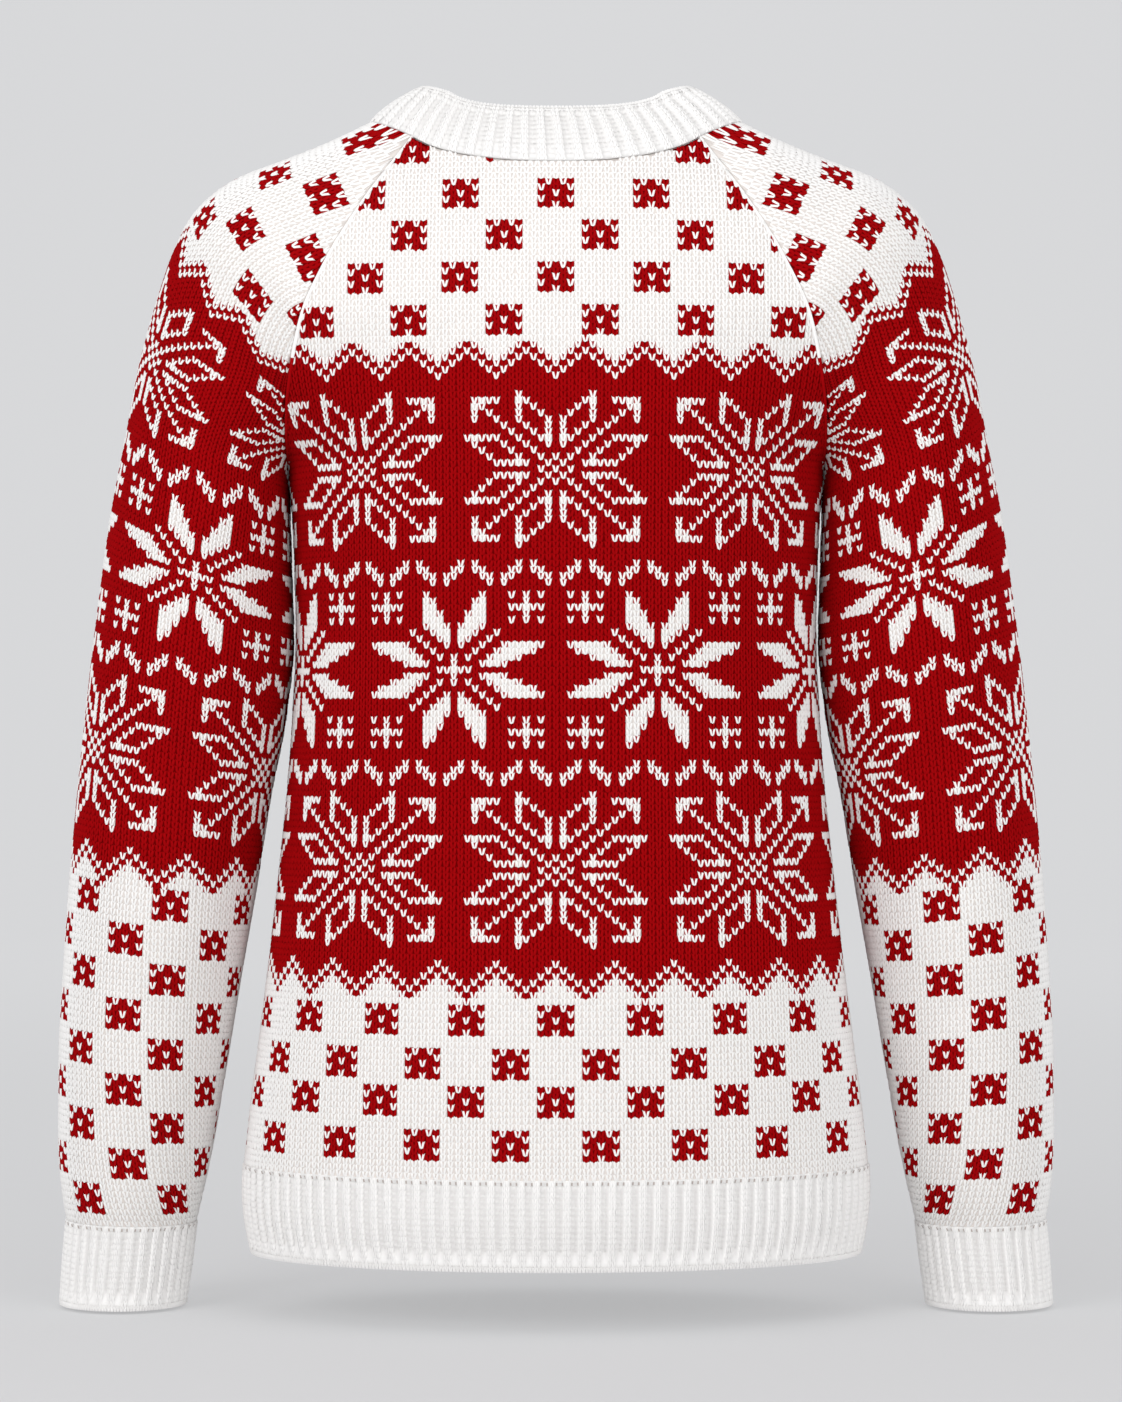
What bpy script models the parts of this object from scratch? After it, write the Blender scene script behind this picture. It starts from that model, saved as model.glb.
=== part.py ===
"""Raglan pullover in a two-colour knit, filled out as worn, with nobody in it.

Metres, +Z up. The front faces -Y and the wearer's left sleeve is on +X. The origin is the middle of the neck
hole at the height where the neckband's seam crosses the back of the shoulders. The tables hold millimetres.
"""

import math

import bpy
import numpy as np

MM = 0.001
WALL = 2.4          # knitted cloth, one layer
BAND_WALL = 3.2     # neckband, thicker because it is folded over and linked down
RIB_WALL = 2.8      # hem and cuffs, thicker because the rib stands in ridges
SEAM_GAP = 0.5      # between pieces where they are sewn edge to edge
LINK_GAP = 0.6      # between a rib and the piece it is linked to

HEM_TOP = -568.0
HEM_BOTTOM = -618.0
HEM_WAIST = 1.2     # how far the hem rib swells past its seam before it draws in
UNDERARM = -186.0
BACK_NECK = -13.0   # middle of the back neckline
FRONT_NECK = -62.0  # middle of the front neckline
BAND_TALL = 34.0
CUFF_TALL = 47.5

PANEL_COLUMNS = 18
BODY_ROWS = 12
CAP_ROWS = 12
ARM_ROWS = 13
SLEEVE_COLUMNS = 18

# The body below the arms: half width at the side seams, depth of the back and of the front.
BODY = {
    "z": (-568, -533, -477, -408, -353, -317, -275, -235, -210, -186),
    "half": (175, 171.2, 164, 156, 150.5, 148, 146, 146.8, 147.8, 150),
    "back": (104, 103.5, 102, 100.5, 100, 100.5, 101.5, 102.5, 103, 103),
    "front": (104, 103.5, 102.5, 102, 103.5, 106.5, 110.5, 113.5, 114.5, 114),
}
# Above the arms only the depth at the middle is needed: the raglan seams give the width.
YOKE_BACK = {
    "z": (-186, -166, -147, -130, -112, -94, -65, -36, -13, 4),
    "deep": (103, 103, 102.3, 101, 99, 96, 89, 79, 66.5, 55),
}
YOKE_FRONT = {
    "z": (-186, -168, -150, -134, -117, -100, -73, -48, -16),
    "deep": (114, 113, 110.5, 107.5, 103, 97, 86.5, 75, 60),
}
# The sleeve, a row per station from the neck to the cuff. The crown is its line over the shoulder and down the
# outside of the arm. Each side runs round from the crown by its turn, in degrees, to its seam: the raglan seam
# down to the underarm, station 8, and then the seam under the arm. Ease shifts the ring forward.
SLEEVE = {
    "crown_x": (104, 126, 152, 182, 204, 215, 226.5, 235.3, 241.5, 250, 257, 263, 268.5, 273.5, 277.5, 280.5,
                281, 279, 276.5),
    "crown_z": (16, 5.5, -5, -17, -36, -57, -92, -126, -160, -204, -252, -300, -350, -402, -455, -508, -556, -586,
                -601),
    "back_x": (79.7, 107.5, 124.5, 138, 143, 146.5, 149, 150, 150, 149, 147.8, 152, 161, 169, 178, 186.5, 194.5,
               200.5, 204),
    "back_z": (3.8, -36.5, -65, -94, -112, -130, -147, -166, -186, -230, -273, -316, -362, -412, -463, -514,
               -560, -588, -602.5),
    "back_turn": (63, 69, 76, 84, 94, 105, 124, 149) + (180,) * 11,
    "back_deep": (47.6, 70.3, 76.3, 77.4, 73.3, 68.5, 64.5, 63.2, 63, 63, 63, 62, 60, 57.5, 55, 52, 48, 44, 40.5),
    "front_x": (80.5, 107, 124.5, 137.5, 143, 146.5, 149, 150, 150, 149, 147.8, 152, 161, 169, 178, 186.5, 194.5,
                200.5, 204),
    "front_z": (-16, -48, -74, -100, -117, -134, -150, -168, -186, -230, -273, -316, -362, -412, -463, -514,
                -560, -588, -602.5),
    "front_turn": (57, 67, 75, 84, 94, 105, 124, 149) + (180,) * 11,
    "front_deep": (57.2, 72.5, 77.6, 78.4, 74.3, 69.2, 65, 63.6, 63.5, 63.3, 63, 62, 60, 57.5, 55, 52, 48, 44, 40.5),
    "ease": (0, 0, 0, 0, 0, 0, 0, 0, 0, -1, -3, -5, -7, -9, -11, -13, -15, -16, -16.5),
}
UNDERARM_STATION = 8
CUFF_STATION = 18
CUFF_TURNED = 5.0   # how far the cuff's lower edge swings outward from straight below its seam
CUFF_DRAW = 0.965   # the cuff's lower edge against its seam

# The neckband's top edge against the neck edge that it stands on, across and front to back.
BAND_TOP_WIDE = 0.73
BAND_TOP_DEEP = 0.8


def slopes(x, y):
    """Monotone slopes at each row of a table, so that the curve through it doesn't overshoot."""
    steps = np.diff(x)
    rises = np.diff(y) / steps
    found = np.zeros(len(x))
    same = rises[:-1] * rises[1:] > 0
    near = 2 * steps[1:] + steps[:-1]
    far = steps[1:] + 2 * steps[:-1]
    found[1:-1][same] = (near + far)[same] / (near[same] / rises[:-1][same] + far[same] / rises[1:][same])
    found[0] = rises[0]
    found[-1] = rises[-1]
    return found


def smooth(x, y, at):
    """The smooth curve through a table's rows, at one place or at many."""
    x = np.asarray(x, float)
    y = np.asarray(y, float)
    at = np.clip(at, x[0], x[-1])
    k = np.clip(np.searchsorted(x, at, side="right") - 1, 0, len(x) - 2)
    step = x[k + 1] - x[k]
    u = (at - x[k]) / step
    m = slopes(x, y)
    return (
        (1 + 2 * u) * (1 - u) ** 2 * y[k]
        + u * (1 - u) ** 2 * step * m[k]
        + u * u * (3 - 2 * u) * y[k + 1]
        - u * u * (1 - u) * step * m[k + 1]
    )


def station(column, t):
    """A column of the sleeve's table at station t, which may lie between two rows."""
    return float(smooth(np.arange(len(SLEEVE[column])), SLEEVE[column], t))


def sleeve_point(t, v, trim=0.0):
    """The sleeve's outer face at station t, from v = -1 at the front seam over the crown to +1 at the back seam."""
    side = "back" if v >= 0 else "front"
    turn = math.radians(station(side + "_turn", t))
    deep = station(side + "_deep", t)
    crown = np.array((station("crown_x", t), station("crown_z", t)))
    seam = np.array((station(side + "_x", t), station(side + "_z", t)))
    reach = (crown - seam) / (1 - math.cos(turn))
    centre = crown - reach
    most = turn - trim / math.hypot(math.hypot(*reach) * math.sin(turn), deep * math.cos(turn))
    phi = abs(v) * most
    x, z = centre + reach * math.cos(phi)
    y = math.copysign(deep * math.sin(phi), v) if v else 0.0
    return np.array((x, y + station("ease", t), z))


def raglan(side, t):
    """A point of the raglan seam, where the body's panel and the sleeve meet."""
    return sleeve_point(t, 1.0 if side == "back" else -1.0)


def seam_width(side, z):
    """The raglan seam's x and y at height z."""
    stations = np.linspace(0, UNDERARM_STATION, 161)
    points = np.array([raglan(side, t) for t in stations])[::-1]
    return np.interp(z, points[:, 2], points[:, 0]), np.interp(z, points[:, 2], np.abs(points[:, 1]))


def panel_section(side, z):
    """(half width, depth, widest angle) of the ellipse that the panel follows at height z."""
    if z <= UNDERARM:
        return smooth(BODY["z"], BODY["half"], z), smooth(BODY["z"], BODY[side], z), math.pi / 2
    yoke = YOKE_BACK if side == "back" else YOKE_FRONT
    deep = smooth(yoke["z"], yoke["deep"], z)
    x, y = seam_width(side, z)
    angle = math.acos(min(1.0, y / deep))
    return x / math.sin(angle), deep, angle


def panel_point(side, u, z, trim=0.0):
    """The panel's outer face at height z, from u = -1 at one edge to +1 at the other."""
    half, deep, widest = panel_section(side, z)
    theta = u * (widest - trim / math.hypot(half * math.cos(widest), deep * math.sin(widest)))
    y = deep * math.cos(theta)
    return np.array((half * math.sin(theta), y if side == "back" else -y, z))


def neckline(side, u):
    """Height of the panel's neck edge at u."""
    corner = raglan(side, 0)[2]
    middle = BACK_NECK if side == "back" else FRONT_NECK
    return middle + (corner - middle) * abs(u) ** 2.1


def across():
    """Where a panel's columns stand, from -1 to +1, closer together toward its edges."""
    return [s * (1.35 - 0.35 * s * s) for s in np.linspace(-1, 1, PANEL_COLUMNS + 1)]


def collection(name):
    made = bpy.data.collections.new(name)
    bpy.context.scene.collection.children.link(made)
    return made


def material(name, colour):
    made = bpy.data.materials.new(name)
    made.use_nodes = True
    shader = made.node_tree.nodes["Principled BSDF"]
    shader.inputs["Base Color"].default_value = (*colour, 1.0)
    shader.inputs["Roughness"].default_value = 0.85
    return made


def cloth(name, grid_points, faces, colour, into, wall):
    """A piece of cloth: its outer face as a mesh, thickened inward by a Solidify."""
    mesh = bpy.data.meshes.new(name)
    mesh.from_pydata([tuple(p * MM) for p in grid_points], [], faces)
    mesh.validate()
    mesh.shade_smooth()
    mesh.materials.append(material(name, colour))
    piece = bpy.data.objects.new(name, mesh)
    into.objects.link(piece)
    thick = piece.modifiers.new("wall", "SOLIDIFY")
    thick.thickness = wall * MM
    thick.offset = -1.0
    thick.use_even_offset = False
    return piece


def quads(rows, columns, closed=False, flip=False):
    """Faces of a grid of points laid row after row."""
    found = []
    for r in range(rows - 1):
        for c in range(columns - (0 if closed else 1)):
            d = (c + 1) % columns
            face = (r * columns + c, r * columns + d, (r + 1) * columns + d, (r + 1) * columns + c)
            found.append(face[::-1] if flip else face)
    return found


def panel(side, colour, into):
    """Back or front: straight rows up to the underarm, then rows that bend with the neckline."""
    columns = across()
    half_gap = SEAM_GAP / 2
    points = []
    for z in np.linspace(HEM_TOP + half_gap, UNDERARM, BODY_ROWS + 1):
        points += [panel_point(side, u, z, half_gap) for u in columns]
    corner = raglan(side, 0)[2]
    for t in np.linspace(UNDERARM_STATION, 0, CAP_ROWS + 1)[1:]:
        edge = raglan(side, t)[2]
        share = (edge - UNDERARM) / (corner - UNDERARM)
        for u in columns:
            z = UNDERARM + share * (neckline(side, u) - half_gap - UNDERARM)
            points.append(panel_point(side, u, z, half_gap))
    rows = BODY_ROWS + CAP_ROWS + 1
    faces = quads(rows, len(columns), flip=(side == "back"))
    return cloth("body_" + side, points, faces, colour, into, WALL)


def sleeve(name, hand, colour, into):
    """Open rows over the shoulder, between the raglan seams, then closed rings down the arm."""
    around = np.linspace(-1, 1, SLEEVE_COLUMNS + 1)
    half_gap = SEAM_GAP / 2
    points = []
    faces = []
    for t in np.linspace(0, UNDERARM_STATION, CAP_ROWS + 1)[:-1]:
        row = [sleeve_point(t, v, half_gap) for v in around]
        if t == 0:
            row = [p + np.array((half_gap, 0, -half_gap)) for p in row]
        points += row
    open_rows = CAP_ROWS
    wide = SLEEVE_COLUMNS + 1
    faces += quads(open_rows, wide, flip=True)
    ring = SLEEVE_COLUMNS
    start = open_rows * wide
    for t in np.linspace(UNDERARM_STATION, CUFF_STATION, ARM_ROWS + 1):
        row = [sleeve_point(t, v) for v in around[:-1]]
        if t == UNDERARM_STATION:
            row[0] = row[0] + np.array((half_gap, 0, 0))
        if t == CUFF_STATION:
            row = [p + np.array((0, 0, half_gap)) for p in row]
        points += row
    last = (open_rows - 1) * wide
    for c in range(SLEEVE_COLUMNS):
        d = (c + 1) % ring
        faces.append((start + c, start + d, last + c + 1, last + c))
    for face in quads(ARM_ROWS + 1, ring, closed=True, flip=True):
        faces.append(tuple(start + i for i in face))
    points = [p * np.array((hand, 1, 1)) for p in points]
    if hand < 0:
        faces = [face[::-1] for face in faces]
    return cloth(name, points, faces, colour, into, WALL)


def cuff(name, hand, colour, into):
    """Rib round the end of the sleeve, drawing in a little toward its lower edge."""
    around = np.linspace(-1, 1, SLEEVE_COLUMNS + 1)[:-1]
    seam = np.array([sleeve_point(CUFF_STATION, v) for v in around])
    centre = seam.mean(axis=0)
    points = []
    for share in np.linspace(0, 1, 4):
        draw = 1 + (CUFF_DRAW - 1) * share ** 2
        drop = np.array((CUFF_TURNED * share, -1.5 * share, -LINK_GAP - (CUFF_TALL - LINK_GAP) * share))
        points += [centre + (p - centre) * np.array((draw, draw, 1 - share)) + drop for p in seam]
    points = [p * np.array((hand, 1, 1)) for p in points]
    faces = quads(4, SLEEVE_COLUMNS, closed=True, flip=hand > 0)
    return cloth(name, points, faces, colour, into, RIB_WALL)


def hem(colour, into):
    """Rib round the bottom of the body, one tube, swelling a little and then drawing in."""
    columns = across()
    seam = [panel_point("back", u, HEM_TOP) for u in columns]
    seam += [panel_point("front", -u, HEM_TOP) for u in columns[1:-1]]
    points = []
    for share in np.linspace(0, 1, 4):
        swell = HEM_WAIST * math.sin(math.pi * share) - 4.5 * share ** 2
        z = HEM_TOP - LINK_GAP + (HEM_BOTTOM - HEM_TOP + LINK_GAP) * share
        for p in seam:
            flat = np.array((p[0], p[1], 0))
            points.append(flat * (1 + swell / np.linalg.norm(flat)) + np.array((0, 0, z)))
    faces = quads(4, len(seam), closed=True)
    return cloth("hem_rib", points, faces, colour, into, RIB_WALL)


def neck_ring():
    """The neck edge all round: the back, the wearer's left shoulder, the front and the right shoulder."""
    columns = across()
    back = [panel_point("back", u, neckline("back", u)) for u in columns]
    front = [panel_point("front", u, neckline("front", u)) for u in columns]
    shoulder = [sleeve_point(0, v) for v in np.linspace(-1, 1, SLEEVE_COLUMNS + 1)[1:-1]]
    left = shoulder[::-1]
    right = [p * np.array((-1, 1, 1)) for p in shoulder]
    return back + left + front[::-1] + right


def neckband(colour, into):
    """Rib band standing on the neck edge, leaning inward and rolling in at its top."""
    ring = np.array(neck_ring())
    points = []
    for share in np.linspace(LINK_GAP / BAND_TALL, 1, 4):
        for p in ring:
            inward = p * np.array((BAND_TOP_WIDE - 1, BAND_TOP_DEEP - 1, 0))
            rise = math.sqrt(BAND_TALL ** 2 - np.dot(inward, inward))
            points.append(p + inward * share ** 1.2 + np.array((0, 0, rise * (1 - (1 - share) ** 1.2))))
    faces = quads(4, len(ring), closed=True, flip=True)
    return cloth("neckband", points, faces, colour, into, BAND_WALL)


def main():
    for existing in list(bpy.data.objects):
        bpy.data.objects.remove(existing, do_unlink=True)
    pullover = collection("pullover")
    white = (0.88, 0.87, 0.85)
    cream = (0.84, 0.83, 0.81)
    red = (0.45, 0.01, 0.012)
    panel("back", red, pullover)
    panel("front", red, pullover)
    sleeve("sleeve_left", 1, red, pullover)
    sleeve("sleeve_right", -1, red, pullover)
    neckband(white, pullover)
    hem(cream, pullover)
    cuff("cuff_left", 1, cream, pullover)
    cuff("cuff_right", -1, cream, pullover)


main()
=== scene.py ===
"""Christmas pullover knitted stitch by stitch over its packed form.

Every wale and row of the colourwork is laid over the back, front and sleeves, and the neckband, hem and cuffs
are worked in two-by-two rib. Lengths in the tables and in the shape functions are millimetres, as a knitter's
chart and a pattern cutter's draft have them, and become metres when a mesh is made.
"""

import math

import bpy
import numpy as np
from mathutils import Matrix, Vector


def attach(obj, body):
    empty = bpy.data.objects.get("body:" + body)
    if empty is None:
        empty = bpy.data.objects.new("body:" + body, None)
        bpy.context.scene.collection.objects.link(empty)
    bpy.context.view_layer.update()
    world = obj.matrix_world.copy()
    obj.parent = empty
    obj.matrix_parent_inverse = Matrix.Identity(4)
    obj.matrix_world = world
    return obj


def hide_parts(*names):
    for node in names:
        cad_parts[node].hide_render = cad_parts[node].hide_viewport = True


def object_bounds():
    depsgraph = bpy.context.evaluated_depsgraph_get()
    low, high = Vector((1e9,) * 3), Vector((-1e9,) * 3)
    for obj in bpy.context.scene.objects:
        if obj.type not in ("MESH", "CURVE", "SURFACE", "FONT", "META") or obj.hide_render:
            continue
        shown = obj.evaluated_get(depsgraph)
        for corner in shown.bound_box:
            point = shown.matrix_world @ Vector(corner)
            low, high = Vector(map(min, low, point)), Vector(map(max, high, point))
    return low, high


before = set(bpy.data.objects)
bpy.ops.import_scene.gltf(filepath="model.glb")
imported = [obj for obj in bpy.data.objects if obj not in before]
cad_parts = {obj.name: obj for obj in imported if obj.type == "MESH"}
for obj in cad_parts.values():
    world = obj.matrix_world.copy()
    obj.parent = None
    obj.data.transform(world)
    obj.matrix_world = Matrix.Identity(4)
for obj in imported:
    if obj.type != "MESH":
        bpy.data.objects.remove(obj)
CAD_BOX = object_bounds()

bl_info = {
    "name": "Christmas pullover",
    "version": (1, 0, 0),
    "blender": (4, 5, 0),
    "location": "View3D > Sidebar > Pullover",
    "description": "Raglan pullover with stars, zigzags and checks in two wools, made stitch by stitch",
    "category": "Object",
}

MM = 0.001

# --- The form: the pattern cutter's draft that the solids are cut to ---

HEM_TOP = -568.0
HEM_BOTTOM = -618.0
HEM_WAIST = 1.2          # how far the hem rib swells at its middle
HEM_DRAW = 4.5           # how far it is drawn in at its free edge
UNDERARM = -186.0
NECK_MIDDLE = {"back": -13.0, "front": -62.0}
NECK_ROUND = 2.1         # the power that the neck edge rises by towards its corners
BAND_TALL = 34.0
BAND_TOP_WIDE = 0.73
BAND_TOP_DEEP = 0.8
BAND_ROUND = 1.2         # the power that the neckband turns inward by
CUFF_TALL = 47.5
CUFF_TURNED = 5.0
CUFF_FORWARD = 1.5
CUFF_DRAW = 0.965
UNDERARM_STATION = 8
CUFF_STATION = 18

BODY = {
    "z": (-568, -533, -477, -408, -353, -317, -275, -235, -210, -186),
    "half": (175, 171.2, 164, 156, 150.5, 148, 146, 146.8, 147.8, 150),
    "back": (104, 103.5, 102, 100.5, 100, 100.5, 101.5, 102.5, 103, 103),
    "front": (104, 103.5, 102.5, 102, 103.5, 106.5, 110.5, 113.5, 114.5, 114),
}
YOKE = {
    "back": {
        "z": (-186, -166, -147, -130, -112, -94, -65, -36, -13, 4),
        "deep": (103, 103, 102.3, 101, 99, 96, 89, 79, 66.5, 55),
    },
    "front": {
        "z": (-186, -168, -150, -134, -117, -100, -73, -48, -16),
        "deep": (114, 113, 110.5, 107.5, 103, 97, 86.5, 75, 60),
    },
}
SLEEVE = {
    "crown_x": (104, 126, 152, 182, 204, 215, 226.5, 235.3, 241.5, 250, 257, 263, 268.5, 273.5, 277.5, 280.5,
                281, 279, 276.5),
    "crown_z": (16, 5.5, -5, -17, -36, -57, -92, -126, -160, -204, -252, -300, -350, -402, -455, -508, -556,
                -586, -601),
    "back_x": (79.7, 107.5, 124.5, 138, 143, 146.5, 149, 150, 150, 149, 147.8, 152, 161, 169, 178, 186.5, 194.5,
               200.5, 204),
    "back_z": (3.8, -36.5, -65, -94, -112, -130, -147, -166, -186, -230, -273, -316, -362, -412, -463, -514,
               -560, -588, -602.5),
    "back_turn": (63, 69, 76, 84, 94, 105, 124, 149) + (180,) * 11,
    "back_deep": (47.6, 70.3, 76.3, 77.4, 73.3, 68.5, 64.5, 63.2, 63, 63, 63, 62, 60, 57.5, 55, 52, 48, 44,
                  40.5),
    "front_x": (80.5, 107, 124.5, 137.5, 143, 146.5, 149, 150, 150, 149, 147.8, 152, 161, 169, 178, 186.5,
                194.5, 200.5, 204),
    "front_z": (-16, -48, -74, -100, -117, -134, -150, -168, -186, -230, -273, -316, -362, -412, -463, -514,
                -560, -588, -602.5),
    "front_turn": (57, 67, 75, 84, 94, 105, 124, 149) + (180,) * 11,
    "front_deep": (57.2, 72.5, 77.6, 78.4, 74.3, 69.2, 65, 63.6, 63.5, 63.3, 63, 62, 60, 57.5, 55, 52, 48, 44,
                   40.5),
    "ease": (0, 0, 0, 0, 0, 0, 0, 0, 0, -1, -3, -5, -7, -9, -11, -13, -15, -16, -16.5),
}

# --- The knitting ---

BODY_WALE = 4.0          # width of a wale where the body is narrowest
BODY_EASE = 0.2          # how much the wales widen with the body
BODY_ROW = 3.384         # height of a row of the body
SLEEVE_ROWS = 192        # from the cuff to the neck, over the shoulder
# Width of a wale at the cuff, the upper arm, the shoulder and the neck, and the rows where they lie.
SLEEVE_WALES = {"row": (0, 128, 158, SLEEVE_ROWS), "wide": (4.17, 4.17, 4.9, 5.1)}
SLEEVE_DIP = 5.0         # how many rows lower the rows lie on the sides of the arm than along its top
DIP_SHARP = 9            # how soon the dip begins beside the top of the arm
SEAM_STEPS = 160         # how finely a raglan seam is measured
FORM_STEPS = 240         # how finely a form is measured from seam to seam
CROWN_STEPS = 720        # how finely the top of a sleeve is measured
CLOTH_WALL = 1.9         # the cloth behind the stitches
CLOTH_SUNK = 0.62        # how far its face lies below the form's
SEAM_LEFT = 0.25         # stitches stop this far from a seam
STITCH_NARROW = 0.34     # the least share of a wale that is worked at a seam
STITCH_SHORT = 0.45      # the least share of a row that is worked at the neck
BODY_WALES = 57          # on each side of the middle one
SLEEVE_SIDE_WALES = 46
BODY_MESH = {"across": 40, "below": 44, "above": 24}  # points of the cloth, up to the underarm and from it
SLEEVE_MESH = {"across": 44, "along": 97}
CORD_SIDES = 6           # of the turned-in edge along a raglan seam
CORD_WIDE = 1.15
CORD_SUNK = 1.0
CORD_RED_TO = 132        # the row up to which the edge is red
# The edge stands away from here: a share of its own distance out, and a height.
CORD_FACES_FROM = {"share": 0.6, "z": -260}

# One leg of a stitch, right of its wale's middle: the two corners of its foot, the two of its head, then the
# head and the foot of its ridge. Across is in wales from the middle, along in rows from the stitch's foot, and
# high in millimetres above the form.
LEG = {
    "across": (-0.05, 0.26, 0.54, 0.20, 0.37, 0.11),
    "along": (-0.17, -0.04, 1.16, 1.06, 0.92, 0.08),
    "high": (-0.10, -0.30, -0.38, -0.38, 0.40, 0.52),
}
# The red yarn is the ground colour: it fills the cloth round the white and lies a little lower.
GROUND_LEG = {
    "across": (-0.07, 0.35, 0.58, 0.15, 0.37, 0.13),
    "along": (-0.20, -0.04, 1.16, 1.08, 0.88, 0.10),
    "high": (-0.40, -0.50, -0.60, -0.60, 0.15, 0.30),
}
# In rib the knit wales are drawn into smooth cords.
RIB_LEG = {
    "across": (-0.06, 0.38, 0.54, 0.10, 0.32, 0.16),
    "along": (-0.17, -0.02, 1.14, 1.04, 0.90, 0.10),
    "high": (-0.05, -0.25, -0.30, -0.20, 0.26, 0.32),
}
LEG_FACES = ((0, 1, 5), (1, 4, 5), (1, 2, 4), (3, 5, 4), (3, 0, 5))
PATCH_SUNK = 0.44        # how far the yarn seen through a stitch lies below the form
LEG_LOOSE = 0.035        # how unevenly the stitches lie, in rows
RIB_LOOSE = 0.02
LOOSE_ACROSS = 0.6       # the same from side to side, in wales for each row
LEG_LIFT = 0.035         # how unevenly they stand

# A purl bump: the same leaf lying across its wale.
PURL = {
    "across": (-0.50, 0.50, 0.50, -0.50, 0.24, -0.24),
    "along": (0.00, 0.12, 0.84, 0.70, 0.50, 0.34),
    "high": (-0.25, -0.30, -0.25, -0.30, 0.12, 0.12),
}

# A small hole where a rib's purl wales meet the stocking stitch, drawn as a flat dark patch of painted shade
# laid over the rib.
EYELET = {
    "across": (-0.50, 0.50, 0.50, -0.50, 0.40, -0.40),
    "along": (0.15, 0.15, 0.70, 0.70, 0.66, 0.66),
    "high": (0.28, 0.28, 0.28, 0.28, 0.28, 0.28),
}

# How much of the sleeve's dip there is at a row.
DIP = {"row": (0, 60, 107, 123, 156, 192), "share": (0, 0.2, 0.6, 0.9, 0.9, 0)}


def slopes(x, y):
    """Slopes at a table's rows that never let the curve overshoot it."""
    steps = np.diff(x)
    rises = np.diff(y) / steps
    found = np.zeros(len(x))
    same = rises[:-1] * rises[1:] > 0
    near = 2 * steps[1:] + steps[:-1]
    far = steps[1:] + 2 * steps[:-1]
    found[1:-1][same] = (near + far)[same] / (near[same] / rises[:-1][same] + far[same] / rises[1:][same])
    found[0] = rises[0]
    found[-1] = rises[-1]
    return found


def smooth(x, y, at):
    """The smooth curve through a table's rows, at many places."""
    x = np.asarray(x, float)
    y = np.asarray(y, float)
    at = np.clip(at, x[0], x[-1])
    k = np.clip(np.searchsorted(x, at, side="right") - 1, 0, len(x) - 2)
    step = x[k + 1] - x[k]
    u = (at - x[k]) / step
    m = slopes(x, y)
    return (
        (1 + 2 * u) * (1 - u) ** 2 * y[k]
        + u * (1 - u) ** 2 * step * m[k]
        + u * u * (3 - 2 * u) * y[k + 1]
        - u * u * (1 - u) * step * m[k + 1]
    )


def sleeve_points(t, v):
    """The left sleeve's outer face at stations t, from v = -1 at its front seam to +1 at its back one."""
    t, v = np.broadcast_arrays(np.asarray(t, float), np.asarray(v, float))
    stations = np.arange(CUFF_STATION + 1)
    column = {name: smooth(stations, values, t) for name, values in SLEEVE.items()}
    of_side = {
        name: np.where(v >= 0, column["back_" + name], column["front_" + name])
        for name in ("x", "z", "turn", "deep")
    }
    turn = np.radians(of_side["turn"])
    phi = np.abs(v) * turn
    bend = (np.cos(phi) - 1) / (1 - np.cos(turn))
    x = column["crown_x"] + (column["crown_x"] - of_side["x"]) * bend
    z = column["crown_z"] + (column["crown_z"] - of_side["z"]) * bend
    y = np.sign(v) * of_side["deep"] * np.sin(phi) + column["ease"]
    return np.stack((x, y, z), axis=-1)


def seam_line(side):
    """The raglan seam from the underarm up to the neck."""
    stations = np.linspace(UNDERARM_STATION, 0, SEAM_STEPS + 1)
    return sleeve_points(stations, 1.0 if side == "back" else -1.0)


def body_points(side, u, z):
    """The panel's outer face at heights z, from u = -1 at one edge to +1 at the other."""
    u, z = np.broadcast_arrays(np.asarray(u, float), np.asarray(z, float))
    seam = seam_line(side)
    z = np.clip(z, BODY["z"][0], seam[-1, 2])
    low = z <= UNDERARM
    deep = np.where(low, smooth(BODY["z"], BODY[side], z), smooth(YOKE[side]["z"], YOKE[side]["deep"], z))
    at_seam = np.abs(np.interp(z, seam[:, 2], seam[:, 1]))
    angle = np.where(low, math.pi / 2, np.arccos(np.minimum(1.0, at_seam / deep)))
    above = np.interp(z, seam[:, 2], seam[:, 0]) / np.sin(angle)
    half = np.where(low, smooth(BODY["z"], BODY["half"], z), above)
    theta = u * angle
    y = deep * np.cos(theta)
    return np.stack((half * np.sin(theta), y if side == "back" else -y, z), axis=-1)


def neck_edge(side, u):
    """Height of the panel's neck edge."""
    corner = seam_line(side)[-1, 2]
    return NECK_MIDDLE[side] + (corner - NECK_MIDDLE[side]) * np.abs(u) ** NECK_ROUND


def lengths(points):
    """Distance along rows of points, from each row's first."""
    steps = np.linalg.norm(np.diff(points, axis=1), axis=2)
    return np.concatenate((np.zeros((len(points), 1)), np.cumsum(steps, axis=1)), axis=1)


# --- Creases: soft troughs and ridges where the cloth gives ---

# The share of a crease's depth that it still has at its ends.
CREASE_ENDS = 0.35

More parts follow.
